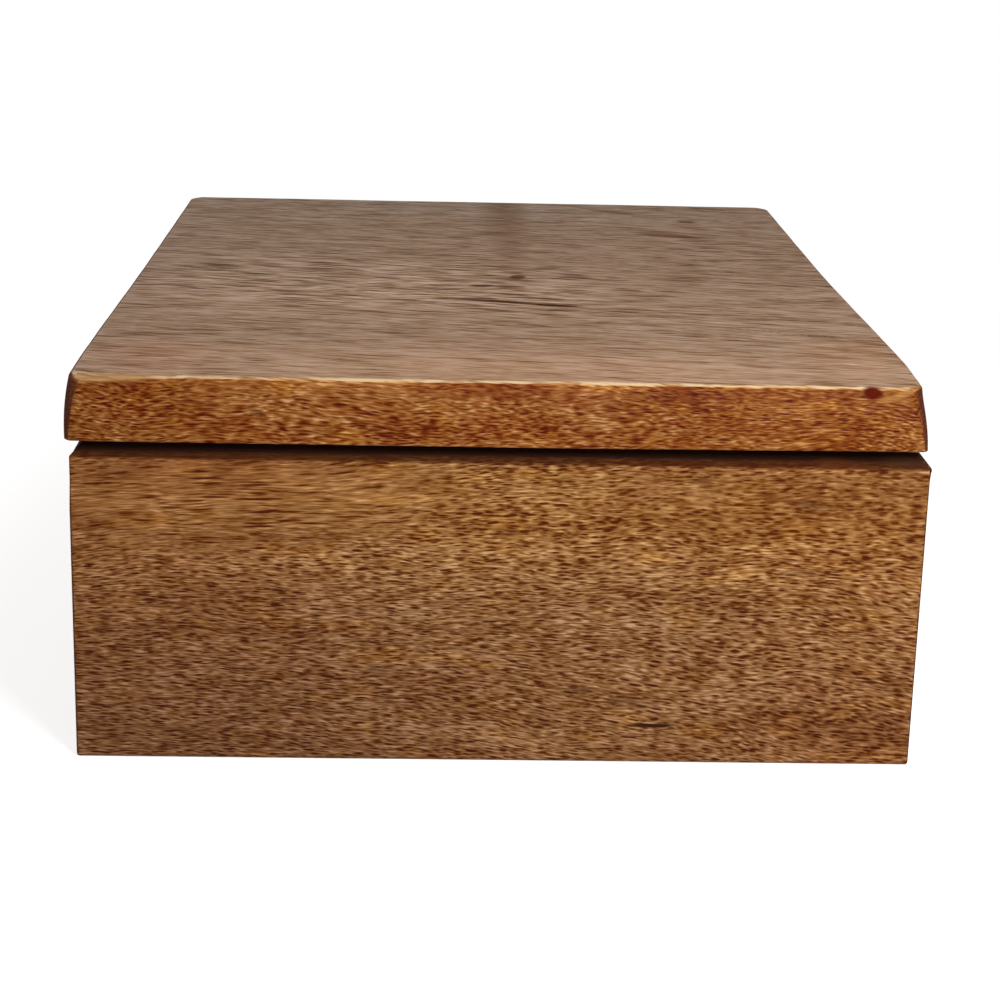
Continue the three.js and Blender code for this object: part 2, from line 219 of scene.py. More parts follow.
# %% Surround
SURROUND_LIGHT = 0.24
MIRRORED_FRONT = 0.08
MIRRORED_BACK = 0.34
MIRROR_TURNS = -0.35, 0.6
world = bpy.data.worlds.new("studio")
bpy.context.scene.world = world
world.use_nodes = True
world.node_tree.nodes.clear()
studio = Nodes(world.node_tree)
rays = studio.add("LightPath")
towards = studio.add("SeparateXYZ", {0: studio.add("TexCoord").outputs["Generated"]}).outputs["Y"]
mirrored = studio.ramp(towards, *MIRROR_TURNS, MIRRORED_FRONT, MIRRORED_BACK)
level = studio.total(
    (rays.outputs["Is Camera Ray"], 1.0), (rays.outputs["Is Diffuse Ray"], SURROUND_LIGHT),
    (rays.outputs["Is Glossy Ray"], mirrored),
)
surround = studio.add("Background", {"Strength": level})
studio.add("OutputWorld", {"Surface": surround.outputs[0]})
print("surround lights at", SURROUND_LIGHT)

# %% Floor
FLOOR_HALF = 6.0
FLOOR_WHITE = (0.86, 0.86, 0.86)
FLOOR_LIFT = 0.70
FLOOR_MIRRORED = 0.15
FLOOR_FADES = 0.13, 0.45


def new_material(name):
    """A material with an empty node tree, and the helper that fills it."""
    material = bpy.data.materials.new(name)
    material.use_nodes = True
    material.node_tree.nodes.clear()
    return material, Nodes(material.node_tree)


def floor_material():
    """Matt white. For the camera it glows a little, so that it ends near white but keeps the shadow.

    Farther out the camera sees even white and mirror-like rays a dark grey. Diffuse rays see the
    matt floor everywhere, so the glow never lights the box. From below the floor is clear.
    """
    material, n = new_material("floor_white")
    rays = n.add("LightPath")
    matt = n.add("BsdfDiffuse", {"Color": FLOOR_WHITE})
    lift = n.times(rays.outputs["Is Camera Ray"], FLOOR_LIFT)
    glow = n.add("Emission", {"Strength": lift})
    both = n.add("AddShader", {0: matt.outputs[0], 1: glow.outputs[0]})
    place = n.add("TexCoord").outputs["Object"]
    away = n.ramp(n.vector("LENGTH", place), *FLOOR_FADES)
    away = n.times(away, n.math("SUBTRACT", 1.0, rays.outputs["Is Diffuse Ray"]))
    level = n.math("MULTIPLY_ADD", rays.outputs["Is Glossy Ray"], FLOOR_MIRRORED - 1.0, 1.0)
    white = n.add("Emission", {"Strength": level})
    faded = n.add("MixShader", {0: away, 1: both.outputs[0], 2: white.outputs[0]})
    clear = n.add("BsdfTransparent")
    under = n.add("NewGeometry").outputs["Backfacing"]
    result = n.add("MixShader", {0: under, 1: faded.outputs[0], 2: clear.outputs[0]})
    n.add("OutputMaterial", {"Surface": result.outputs[0]})
    return material


floor_mesh = bpy.data.meshes.new("floor")
floor_corners = [(x * FLOOR_HALF, y * FLOOR_HALF, 0) for x, y in ((-1, -1), (1, -1), (1, 1), (-1, 1))]
floor_mesh.from_pydata(floor_corners, [], [(0, 1, 2, 3)])
floor = add_object("floor", floor_mesh)
floor.data.materials.append(floor_material())
print("floor", FLOOR_HALF * 2, "m wide")

# %% Lamps
BOX_MIDDLE = Vector((0, 0, 0.05))


def lamp(name, place, side, strength):
    """A square soft lamp that faces the box.

    A surface d metres away that faces it is lit at the given strength when the lamp's power is
    pi squared times d squared times the strength.
    """
    light = bpy.data.lights.new(name, "AREA")
    light.shape = "SQUARE"
    light.size = side
    distance = (Vector(place) - BOX_MIDDLE).length
    light.energy = math.pi**2 * distance**2 * strength
    facing = (BOX_MIDDLE - Vector(place)).to_track_quat("-Z", "Y").to_matrix().to_4x4()
    add_object(name, light).matrix_world = Matrix.Translation(place) @ facing


lamp("key_lamp", (0.20, -0.42, 0.42), 0.25, 0.645)
lamp("back_lamp", (-0.75, 0.9, 0.75), 0.8, 0.22)
print("lamps aimed at", [round(v, 2) for v in BOX_MIDDLE])

# %% [markdown]
# Each timber piece is worked out as whole arrays of points. The first helper puts the arrays into a
# mesh with foreach_set, which is far quicker than adding points one by one. The others number the
# faces of a grid, set the shading, and give the soft steps and waves of hand-sanded wood.

# %% Mesh helpers
def mesh_piece(name, points, quads, polygons=()):
    """A new object at the origin from an array of points, an array of quads and a few longer faces."""
    mesh = bpy.data.meshes.new(name)
    loops = np.concatenate([quads.ravel(), *[np.asarray(p) for p in polygons]]).astype(np.int32)
    sizes = np.array([4] * len(quads) + [len(p) for p in polygons], np.int32)
    mesh.vertices.add(len(points))
    mesh.vertices.foreach_set("co", np.asarray(points, np.float32).ravel())
    mesh.loops.add(len(loops))
    mesh.loops.foreach_set("vertex_index", loops)
    mesh.polygons.add(len(sizes))
    starts = np.concatenate([[0], np.cumsum(sizes)[:-1]])
    mesh.polygons.foreach_set("loop_start", starts.astype(np.int32))
    mesh.update(calc_edges=True)
    mesh.validate()
    return add_object(name, mesh)


def grid_quads(number, closed=(0, 0)):
    """Faces between neighbours in a grid of point numbers; closed joins last and first on an axis."""
    number = np.pad(number, ((0, closed[0]), (0, closed[1])), "wrap")
    corners = [number[:-1, :-1], number[:-1, 1:], number[1:, 1:], number[1:, :-1]]
    return np.stack(corners, -1).reshape(-1, 4)


def shade(piece, sharp_degrees):
    """Smooth shading, except over edges that turn more sharply than the given angle."""
    flags = np.ones(len(piece.data.polygons), bool)
    piece.data.polygons.foreach_set("use_smooth", flags)
    piece.data.set_sharp_from_angle(angle=math.radians(sharp_degrees))


def step_up(value, start, width):
    """0 up to the start, then straight up to 1 over the width."""
    return np.clip((value - start) / width, 0, 1)


def slow_wave(x, y, z, lengths, seed):
    """A smooth wave between about -1 and 1: the mean of sines along random slanted directions.

    Each sine has its own wave length in metres and its own random phase, so the sum wanders the
    way a hand-sanded surface does and never repeats within the box.
    """
    random = np.random.default_rng(seed)
    total = np.zeros(np.broadcast(x, y, z).shape)
    for length in lengths:
        direction = random.normal(size=3)
        direction /= np.linalg.norm(direction)
        phase = random.uniform(0, 2 * np.pi)
        along = x * direction[0] + y * direction[1] + z * direction[2]
        total = total + np.sin(2 * np.pi * along / length + phase)
    return total / len(lengths)


# %% [markdown]
# The lid is one thick board. Its sides rise upright, lean in along a long shallow arc and turn over
# the top edge in a short one, as a maker rounds them with a sanding block. A bevel modifier on a
# block would give the round but not the lean, so the shape is a stack of rounded rectangles whose
# inset follows the section. The same rectangle, filled, closes the top and the underside. The two
# tables say how far to the right the top's left and right edges lie, in mm, at distances from the
# front in mm. They are read from the photographed outline, where neither edge is quite straight. The
# corners of the plan are not quarter circles but filed facets with soft ends.

# %% Lid sizes
lid_low, lid_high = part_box("lid_board")
LID_HALF = (lid_high - lid_low) / 2
LID_MIDDLE = (lid_high + lid_low) / 2
LID_THICKNESS = lid_high.z - lid_low.z
LID_LEAN = 2 * MM
LID_TOP_ROUND = 1.5 * MM
LID_ARRIS = 0.3 * MM
LID_CORNER_LOW = 1.2 * MM
LID_CORNER_HIGH = 3.6 * MM
LEFT_EDGE = (0, 30, 57, 86, 117, 153, 192, 250), (-1.0, -1.0, -0.6, 0.0, 0.5, 0.9, 1.3, 1.8)
RIGHT_EDGE = (0, 10, 25, 58, 87, 118, 135, 250), (0.7, 1.2, 1.8, 1.1, 0.3, -0.5, -0.9, -1.0)
GRID_STEP = 2 * MM
CORNER_LINES = 6
CORNER_POWER = 1.35
print("lid half sizes in mm", [round(v / MM, 2) for v in LID_HALF])


# %% Lid section and plan
def lid_section():
    """Inset and height of the lid's side from the underside up.

    A long arc leans in by LID_LEAN, and a short arc of radius LID_TOP_ROUND carries on from its
    direction and ends level with the top.
    """
    lean_angle = 2 * math.atan(LID_LEAN / (LID_THICKNESS - LID_TOP_ROUND - LID_ARRIS))
    lean_height = LID_THICKNESS - LID_TOP_ROUND * (1 - math.sin(lean_angle)) - LID_ARRIS
    lean_radius = lean_height / math.sin(lean_angle)
    turn = np.linspace(0, lean_angle, 16)
    side_inset = lean_radius * (1 - np.cos(turn))
    side_height = LID_ARRIS + lean_radius * np.sin(turn)
    turn = np.linspace(lean_angle, math.pi / 2, 12)[1:]
    centre = side_inset[-1] + LID_TOP_ROUND * math.cos(lean_angle)
    edge_inset = centre - LID_TOP_ROUND * np.cos(turn)
    edge_height = LID_THICKNESS - LID_TOP_ROUND * (1 - np.sin(turn))
    inset = np.concatenate([[LID_ARRIS], side_inset, edge_inset])
    height = np.concatenate([[0], side_height, edge_height])
    return inset, height


def grid_lines(half):
    """Places of the grid's lines across a rounded rectangle.

    They run from -1 to 1 over the straight part. Beyond that, 1 to 2 runs through the corner.
    """
    straight = np.linspace(-1, 1, round(2 * half / GRID_STEP) + 1)
    corner = np.linspace(1, 2, CORNER_LINES + 1)[1:]
    return np.concatenate([-corner[::-1], straight, corner])


def rounded_plan(a, b, half_x, half_y, radius):
    """The point of a rounded rectangle at the grid place a, b.

    Up to 1 the place scales the straight part; from 1 to 2 it crosses the corner. There the
    square of side radius is drawn in until a^p + b^p = 1 on its edge. A power p of 2 would give a
    quarter disc and 1 a flat chamfer; the value between them is a filed facet with soft ends.
    """
    over_a = np.clip(np.abs(a) - 1, 0, 1)
    over_b = np.clip(np.abs(b) - 1, 0, 1)
    reach = (over_a**CORNER_POWER + over_b**CORNER_POWER) ** (1 / CORNER_POWER)
    shrink = np.where(reach > 0, np.maximum(over_a, over_b) / np.maximum(reach, 1e-9), 1)
    x = np.clip(a, -1, 1) * (half_x - radius) + np.sign(a) * over_a * shrink * radius
    y = np.clip(b, -1, 1) * (half_y - radius) + np.sign(b) * over_b * shrink * radius
    return x, y


# %% [markdown]
# A drying crack runs along the grain near the middle of the lid. The grid's lines bend to follow it
# and come close together there, so the crack is a real groove in the mesh. Its ends are read from
# the photograph by shooting a ray through the pixel to the plane of the lid's top.

# %% The crack in the lid
CRACK_PIXELS = [(441, 298), (578, 307)]
CRACK_HALF_WIDTH = 0.42 * MM
CRACK_DEPTH = 1.5 * MM
CRACK_FOLLOW = 9 * MM
CRACK_LINES = np.array([-2.6, -1.0, -0.55, 0, 0.55, 1.0, 2.6])
crack_start, crack_end = [photo_point(pixel, (0, 0, 1), lid_high.z) for pixel in CRACK_PIXELS]
crack_middle_x = (crack_start.x + crack_end.x) / 2


def crack_line(x):
    """How far back the crack lies at each x: a straight line with a slow wander."""
    along = (x - crack_start.x) / (crack_end.x - crack_start.x)
    wander = 0.25 * MM * np.sin(along * 7.1 + 0.6) + 0.12 * MM * np.sin(along * 19 + 2)
    return crack_start.y + (crack_end.y - crack_start.y) * along + wander


def crack_groove(x, y):
    """Depth of the crack: a V across it and a dome along it, which thins at a waist near one end."""
    along = np.clip((x - crack_start.x) / (crack_end.x - crack_start.x), 0, 1)
    taper = np.sqrt(np.clip(np.sin(np.pi * along), 0, 1))
    waist = 1 - 0.75 * np.exp(-(((along - 0.64) / 0.035) ** 2))
    across = np.abs(y - crack_line(x)) / CRACK_HALF_WIDTH
    return CRACK_DEPTH * taper * waist * np.clip(1 - across, 0, 1)


print("crack from", [round(v / MM, 1) for v in crack_start], "to", [round(v / MM, 1) for v in crack_end])


# %% Lid mesh
EDGE_ZONE = 12 * MM
EDGE_WANDER = 0.10 * MM
TOP_WANDER = 0.05 * MM
SOFT_CORNER_SINK = 0.9 * MM
RIGHT_PLANED = 0.25 * MM
LEFT_FOOT_PLANED = 0.5 * MM
FRONT_LIP_LIFT = 0.4 * MM


def lid_mesh():
    """The lid's closed surface: underside and top as grids, and rings of the side between them."""
    inset, height = lid_section()
    radius = LID_CORNER_LOW + (LID_CORNER_HIGH - LID_CORNER_LOW) * height / LID_THICKNESS
    straight_half = LID_HALF.y - inset[-1] - radius[-1]
    crack_lines = crack_line(crack_middle_x) - LID_MIDDLE.y + CRACK_LINES * CRACK_HALF_WIDTH
    line_a = grid_lines(LID_HALF.x)
    line_b = np.sort(np.concatenate([grid_lines(LID_HALF.y), crack_lines / straight_half]))
    grid_a, grid_b = np.meshgrid(line_a, line_b, indexing="ij")
    number = np.arange(grid_a.size).reshape(grid_a.shape)
    rim = np.concatenate([number[:-1, 0], number[-1, :-1], number[:0:-1, -1], number[0, :0:-1]])

    def layer(a, b, level):
        """The points of grid places a, b at one level, or at several given as a column."""
        x, y = rounded_plan(a, b, LID_HALF.x - inset[level], LID_HALF.y - inset[level], radius[level])
        return np.stack([x, y, np.broadcast_to(height[level], x.shape)], -1).reshape(-1, 3)

    between = np.arange(1, len(height) - 1)[:, None]
    rings = layer(grid_a.ravel()[rim], grid_b.ravel()[rim], between)
    points = np.concatenate([layer(grid_a, grid_b, 0), layer(grid_a, grid_b, -1), rings])
    points = points + np.array([LID_MIDDLE.x, LID_MIDDLE.y, lid_low.z])
    cells = grid_quads(number)[:, [0, 3, 2, 1]]
    ring_number = 2 * number.size + np.arange(len(rings)).reshape(-1, len(rim))
    walls = grid_quads(np.vstack([rim, ring_number, rim + number.size]), (0, 1))
    return sanded_lid(points), np.concatenate([cells[:, ::-1], cells + number.size, walls])


def sanded_lid(points):
    """The lid's points after hand work.

    The grid's lines near the crack bend with it. All edges wander by EDGE_WANDER, and the top waves
    by TOP_WANDER. The upper front edge sinks at the left corner, the two sides shift by their
    tables, more so higher up, and the lower front edge lifts towards the right. Last, the crack.
    """
    x, y, z = points.T
    rise = np.clip((z - lid_low.z) / LID_THICKNESS, 0, 1)
    to_front = y - lid_low.y
    to_edge = np.minimum(LID_HALF.x - np.abs(x - LID_MIDDLE.x), LID_HALF.y - np.abs(y))
    inside = step_up(to_edge, 0, EDGE_ZONE)
    near = np.exp(-(((y - crack_line(x)) / CRACK_FOLLOW) ** 2)) * inside * (rise > 0.99)
    y = y + (crack_line(x) - crack_line(crack_middle_x)) * near
    edge = EDGE_WANDER * (1 - inside)
    x = x + edge * slow_wave(x, y, z, (0.09, 0.05, 0.031), 3) * np.sign(x - LID_MIDDLE.x)
    y = y + edge * slow_wave(x, y, z, (0.08, 0.043, 0.027), 4) * np.sign(y)
    z = z + TOP_WANDER * (rise > 0.8) * slow_wave(x, y, z, (0.07, 0.045, 0.11), 5)
    soft = np.exp(-(((x - lid_low.x - 8 * MM) / (9 * MM)) ** 2))
    front_edge = step_up(-to_front, -6.2 * MM, 3.2 * MM) * step_up(rise, 0.82, 0.18)
    z = z - SOFT_CORNER_SINK * soft * front_edge**1.5
    left = step_up(-x, -lid_low.x - 14 * MM, 12 * MM)
    right = step_up(x, lid_high.x - 14 * MM, 12 * MM)
    x = x + left * rise**1.5 * np.interp(to_front / MM, *LEFT_EDGE) * MM
    x = x + right * (rise**6 * np.interp(to_front / MM, *RIGHT_EDGE) * MM - RIGHT_PLANED)
    x = x + LEFT_FOOT_PLANED * left * (1 - rise) * step_up(-to_front, -60 * MM, 60 * MM)
    lip = step_up(-to_front, -2.5 * MM, 2.5 * MM) * (rise < 0.05) * step_up(x, 20 * MM, 60 * MM)
    z = z + FRONT_LIP_LIFT * lip - crack_groove(x, y) * (rise > 0.95)
    return np.stack([x, y, z], -1)


lid_points, lid_quads = lid_mesh()
lid_top = mesh_piece("sanded_lid", lid_points, lid_quads)
print("lid", len(lid_points), "points,", len(lid_quads), "faces")

# %% [markdown]
# Each case board is a section carried along its length: an outer face with an eased foot, the bevel
# under the lid, the rim, the inner face and the rebate for the bottom panel. Both ends are cut at 45
# degrees, so each point of the section stops short by its own distance from the outer face. The four
# boards differ in length and in how their edges wander. The photograph shows the foot of the front
# bevel dropping towards the right, a rounder bevel on the right board, and the left board leaning in
# a little at its top. BEVEL_DROP, BEVEL_BULGE and TOP_LEAN hold these amounts in mm for the front,
# right, back and left board.

# %% Board sizes
case_low, case_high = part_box("left_board")
front_low, front_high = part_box("front_board")
GLUE_LINE = 0.1 * MM
MITRE_GAP = GLUE_LINE * math.sqrt(0.5)
CASE_HALF_X = front_high.x + MITRE_GAP
CASE_HALF_Y = case_high.y + MITRE_GAP
RIM_HEIGHT = front_high.z
BOARD_THICKNESS = front_high.y - front_low.y
BOTTOM_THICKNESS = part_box("bottom_panel")[1].z
BOTTOM_REBATE = 6 * MM
RIM_BEVEL = 3.6 * MM
BEVEL_SOFTENING = 2 * MM
RIM_EASE = 0.35 * MM
FOOT_EASE = 1.2 * MM
CORNER_EASE = 0.9 * MM
BEVEL_DROP = (0.05, 0.5, 0.3), (0.0, 0.1, 0.2), (0.1, 0.3, 0.1), (0.1, 0.2, 0.4)
BEVEL_BULGE = 0, 0.5, 0.1, 0.2
TOP_LEAN = 0, 0, 0, 0.45
FACE_WANDER = 0.06 * MM
RIM_WANDER = 0.12 * MM
FINE_ENDS = np.array([0, 0.08, 0.16, 0.26, 0.38, 0.52, 0.68, 0.86, 1.1, 1.6]) * MM
BOARD_STEP = 2.4 * MM
print("boards", round(BOARD_THICKNESS / MM, 1), "mm thick, rim at", round(RIM_HEIGHT / MM, 1))


# %% Board section
def arc(centre_u, centre_v, radius, start, stop, steps):
    """Points of an arc between two angles given in degrees, both ends included."""
    angle = np.radians(np.linspace(start, stop, steps + 1))
    return np.stack([centre_u + radius * np.cos(angle), centre_v + radius * np.sin(angle)], -1)


def straight(start, stop, steps):
    """Points on a straight line, without its two ends."""
    share = np.linspace(0, 1, steps + 1)[1:-1, None]
    return np.array(start) * (1 - share) + np.array(stop) * share


def board_section():
    """The closed section of a board: u runs inwards from the outer face and v upwards."""
    blend = BEVEL_SOFTENING * math.tan(math.radians(22.5))
    rim_blend = RIM_EASE * math.tan(math.radians(22.5))
    face_top = RIM_HEIGHT - RIM_BEVEL - blend
    panel_top = BOTTOM_THICKNESS + GLUE_LINE
    inner = BOARD_THICKNESS
    foot = arc(FOOT_EASE, FOOT_EASE, FOOT_EASE, 270, 180, 8)
    shoulder = arc(BEVEL_SOFTENING, face_top, BEVEL_SOFTENING, 180, 135, 8)
    rim = arc(RIM_BEVEL + rim_blend, RIM_HEIGHT - RIM_EASE, RIM_EASE, 135, 90, 4)
    inner_rim = arc(inner - RIM_EASE, RIM_HEIGHT - RIM_EASE, RIM_EASE, 90, 0, 4)
    return np.concatenate([
        [(inner - BOTTOM_REBATE, 0)], straight((inner - BOTTOM_REBATE, 0), foot[0], 3), foot,
        straight(foot[-1], shoulder[0], 36), shoulder, straight(shoulder[-1], rim[0], 3), rim,
        straight(rim[-1], inner_rim[0], 4), inner_rim, straight(inner_rim[-1], (inner, panel_top), 12),
        [(inner, panel_top)], straight((inner, panel_top), (inner - BOTTOM_REBATE, panel_top), 3),
        [(inner - BOTTOM_REBATE, panel_top)],
    ])


# %% Board mesh
def board_mesh(half_length, half_depth, turn):
    """A board's closed surface, in place.

    Along the board, x = share * (half length - mitre), where the mitre is the point's own distance
    from the outer face. Near the ends the outer face follows the rounded upright corner of the
    case: there the distance from the face is at least the arc's. Away from the ends the outer face
    wanders a little, and its top leans, bulges and drops by the board's own amounts.
    """
    section = board_section()
    u, v = section[:, :1], section[:, 1:]
    fine = 1 - FINE_ENDS / half_length
    middle = np.linspace(-fine[-1], fine[-1], round(2 * half_length / BOARD_STEP))[1:-1]
    share = np.concatenate([-fine, middle, fine[::-1]])[None, :]
    tip = CORNER_EASE * (1 - math.sqrt(0.5))
    x = share * (half_length - np.maximum(u, tip) - MITRE_GAP)
    past = np.clip(np.abs(x) - (half_length - CORNER_EASE), 0, CORNER_EASE)
    rounding = CORNER_EASE - np.sqrt(CORNER_EASE**2 - past**2)
    height = np.broadcast_to(v, x.shape)
    skin = step_up(-u, -6 * MM, 6 * MM) * step_up(half_length - np.abs(x), 0, 20 * MM)
    outward = FACE_WANDER * skin * slow_wave(x, height * 1.4, half_depth, (0.09, 0.05, 0.13), 11 + turn)
    rim_edge = step_up(v, RIM_HEIGHT - 5 * MM, 5 * MM)
    outward = outward + RIM_WANDER * rim_edge * skin * slow_wave(x, 0, 0, (0.06, 0.034, 0.021), 21 + turn)
    y = np.maximum(u, rounding) - outward - half_depth
    outer = step_up(-u, -4 * MM, 4 * MM)
    y = y + TOP_LEAN[turn] * MM * step_up(v, 62 * MM, 14 * MM) * outer
    y = y - BEVEL_BULGE[turn] * MM * np.sin(np.pi * rim_edge) * np.sqrt(outer)
    drop = np.interp(x / half_length, (-1, 0.7, 1), BEVEL_DROP[turn]) * MM
    height = height - drop * step_up(-u, -RIM_BEVEL, RIM_BEVEL) * step_up(v, 50 * MM, 25 * MM)
    angle = turn * math.pi / 2
    points = np.stack([
        x * math.cos(angle) - y * math.sin(angle), x * math.sin(angle) + y * math.cos(angle), height,
    ], -1).reshape(-1, 3)
    number = np.arange(x.size).reshape(x.shape)
    return points, grid_quads(number, (1, 0)), [number[:, 0], number[:, -1][::-1]]


boards = {}
for turn, side in enumerate(("front", "right", "back", "left")):
    halves = (CASE_HALF_X, CASE_HALF_Y) if turn % 2 == 0 else (CASE_HALF_Y, CASE_HALF_X)
    boards[side] = mesh_piece(f"{side}_timber", *board_mesh(*halves, turn))
    print(side, "board", len(boards[side].data.vertices), "points")

# %% [markdown]
# The leaves of the hinges are let into the rim and the lid. A chisel cuts a shallow bed for the plate
# and a deeper one for the knuckles, and a drill makes the screw holes. The same cut is made here with
# a boolean modifier: one stepped prism and two drilled shapes for each leaf, subtracted together. A
# side of 1 means a bed that is cut upwards into the lid, and -1 one cut down into the case.

# %% Hinge beds
_, PIN_Y, PIN_Z = frame["joints"][0]["pos_m"]
LEAF_THICKNESS = 1 * MM
BED_PLAY = 0.3 * MM
REVEAL = lid_low.z - RIM_HEIGHT
SCREW_SHANK = 1 * MM
SCREW_PLAY = 0.2 * MM
SCREW_LENGTH = 8 * MM
SCREW_POINT = 2 * MM
HOLE_CORNERS = 24
PAST_BACK = 3 * MM
print("pins at y", round(PIN_Y / MM, 2), "and z", round(PIN_Z / MM, 2), "mm")


# %% Cutters for the beds
def bed_prism(leaf, side):
    """The stepped bed of one leaf, in place: a section in y and z, carried along x."""
    low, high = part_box(leaf)
    plate = REVEAL / 2 + LEAF_THICKNESS + BED_PLAY
    trough = high.y - PIN_Y + BED_PLAY
    front = low.y - PIN_Y - BED_PLAY
    step = -(trough + LEAF_THICKNESS + BED_PLAY)
    back = case_high.y - PIN_Y + PAST_BACK
    section = [(front, 0), (front, plate), (step, plate), (step, trough), (back, trough), (back, 0)]
    near = [(low.x - BED_PLAY, PIN_Y + y, PIN_Z + side * z) for y, z in section]
    far = [(high.x + BED_PLAY, y, z) for _, y, z in near]
    number = np.arange(2 * len(section)).reshape(2, -1)
    return cutter("bed", near + far, number, side > 0)


def cutter(name, points, number, flip):
    """A closed tube from a grid of point numbers, one ring in each row; flip turns it inside out."""
    quads, ends = grid_quads(number, (0, 1)), [number[0][::-1], number[-1]]
    if flip:
        quads, ends = quads[:, ::-1], [end[::-1] for end in ends]
    return mesh_piece(name, points, quads, ends)


def drilled_hole(screw, side):
    """The hole under one screw: a cylinder with a pointed end, one ring of points for each radius."""
    low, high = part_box(screw)
    middle = (low + high) / 2
    wide = SCREW_SHANK + SCREW_PLAY
    start = LEAF_THICKNESS + BED_PLAY - SCREW_PLAY / 2
    end = SCREW_LENGTH + SCREW_PLAY
    radius = np.array([[wide], [wide], [SCREW_PLAY]])
    depth = PIN_Z + side * (REVEAL / 2 + np.array([[start], [end - SCREW_POINT], [end]]))
    angle = np.linspace(0, 2 * np.pi, HOLE_CORNERS, endpoint=False)
    x, y = middle.x + radius * np.cos(angle), middle.y + radius * np.sin(angle)
    points = np.stack([x, y, np.broadcast_to(depth, x.shape)], -1).reshape(-1, 3)
    return cutter("hole", points, np.arange(x.size).reshape(x.shape), side < 0)


# %% Cut the beds
def cut_beds(piece, half, side):
    """Cuts both hinges' beds into a timber piece; half names its leaves and screws: base or lid."""
    cutters = bpy.data.collections.new("cutters")
    for hinge in ("left_hinge", "right_hinge"):
        shapes = [bed_prism(f"{hinge}_{half}_leaf", side)]
        shapes += [drilled_hole(f"{hinge}_{half}_screw_{number}", side) for number in (1, 2)]
        for shape in shapes:
            bpy.context.scene.collection.objects.unlink(shape)
            cutters.objects.link(shape)
    modifier = piece.modifiers.new("beds", "BOOLEAN")
    modifier.operation = "DIFFERENCE"
    modifier.operand_type = "COLLECTION"
    modifier.collection = cutters
    modifier.solver = "MANIFOLD"
    bpy.context.view_layer.update()
    cut = bpy.data.meshes.new_from_object(piece.evaluated_get(bpy.context.evaluated_depsgraph_get()))
    piece.modifiers.clear()
    piece.data = cut
    for shape in list(cutters.objects):
        bpy.data.objects.remove(shape)
    bpy.data.collections.remove(cutters)
    print(piece.name, "after its beds:", len(cut.vertices), "points")


cut_beds(lid_top, "lid", 1)
cut_beds(boards["back"], "base", -1)

# %% [markdown]
# The metal parts keep the model's own shapes. A copy of each has its loose triangles joined and every
# sharp edge eased by a few hundredths of a millimetre, so that it catches the light as stamped and
# turned brass does.

# %% Brass pieces
BRASS_EASE = {"leaf": 0.07 * MM, "pin": 0.05 * MM, "screw": 0.05 * MM}
JOIN_DISTANCE = 0.01 * MM
FLAT_DEGREES = 1.0
SHARP_DEGREES = 32.0


def eased_copy(node, ease):
    """A joined copy of a model piece whose sharp edges are rounded by a bevel modifier."""
    shape = bmesh.new()
    shape.from_mesh(nodes[node].data)
    bmesh.ops.remove_doubles(shape, verts=shape.verts, dist=JOIN_DISTANCE)
    limit = math.radians(FLAT_DEGREES)
    bmesh.ops.dissolve_limit(shape, angle_limit=limit, verts=shape.verts, edges=shape.edges)
    mesh = bpy.data.meshes.new(node + "_brass")
    shape.to_mesh(mesh)
    shape.free()
    piece = add_object(node + "_brass", mesh)
    bevel = piece.modifiers.new("eased edges", "BEVEL")
    bevel.width = ease
    bevel.segments = 2
    bevel.limit_method = "ANGLE"
    bevel.angle_limit = math.radians(SHARP_DEGREES)
    bevel.use_clamp_overlap = True
    shade(piece, SHARP_DEGREES)
    return piece


def brass_kind(name):
    """leaf, pin or screw for the node of a brass piece, and nothing for timber."""
    return next((kind for kind in BRASS_EASE if kind in name), None)


brass = {name: eased_copy(name, BRASS_EASE[brass_kind(name)]) for name in nodes if brass_kind(name)}
print(len(brass), "brass pieces")

# %% [markdown]
# The wood is a brown, open-pored hardwood under a satin clear finish. Three things make its look: a
# ground that drifts between red-brown and gold in long patches, thousands of short dark pore lines,
# and fine fibres between them. All of it is a solid pattern in three dimensions: pores are long thin
# ellipsoids that follow the grain, so a long face cuts them into dashes and an end cuts them into
# dots, as in real timber. Voronoi cells stretched along the grain give those ellipsoids.

# %% Places in the wood
FIBRE_WAVES = ((46, 19, 19), "bend"), ((8, 4.6, 4.6), "quick_bend")
FACES_UP = -0.02, 0.05
LIES_FLAT = 0.86, 0.99
BEVEL_LEANS = 0.15, 0.60, 0.80, 0.88


def window(n, value, rise_from, rise_to, fall_from, fall_to):
    """1 between two values and 0 beyond them, with a soft rise and a soft fall."""
    return n.times(n.ramp(value, rise_from, rise_to), n.ramp(value, fall_to, fall_from))


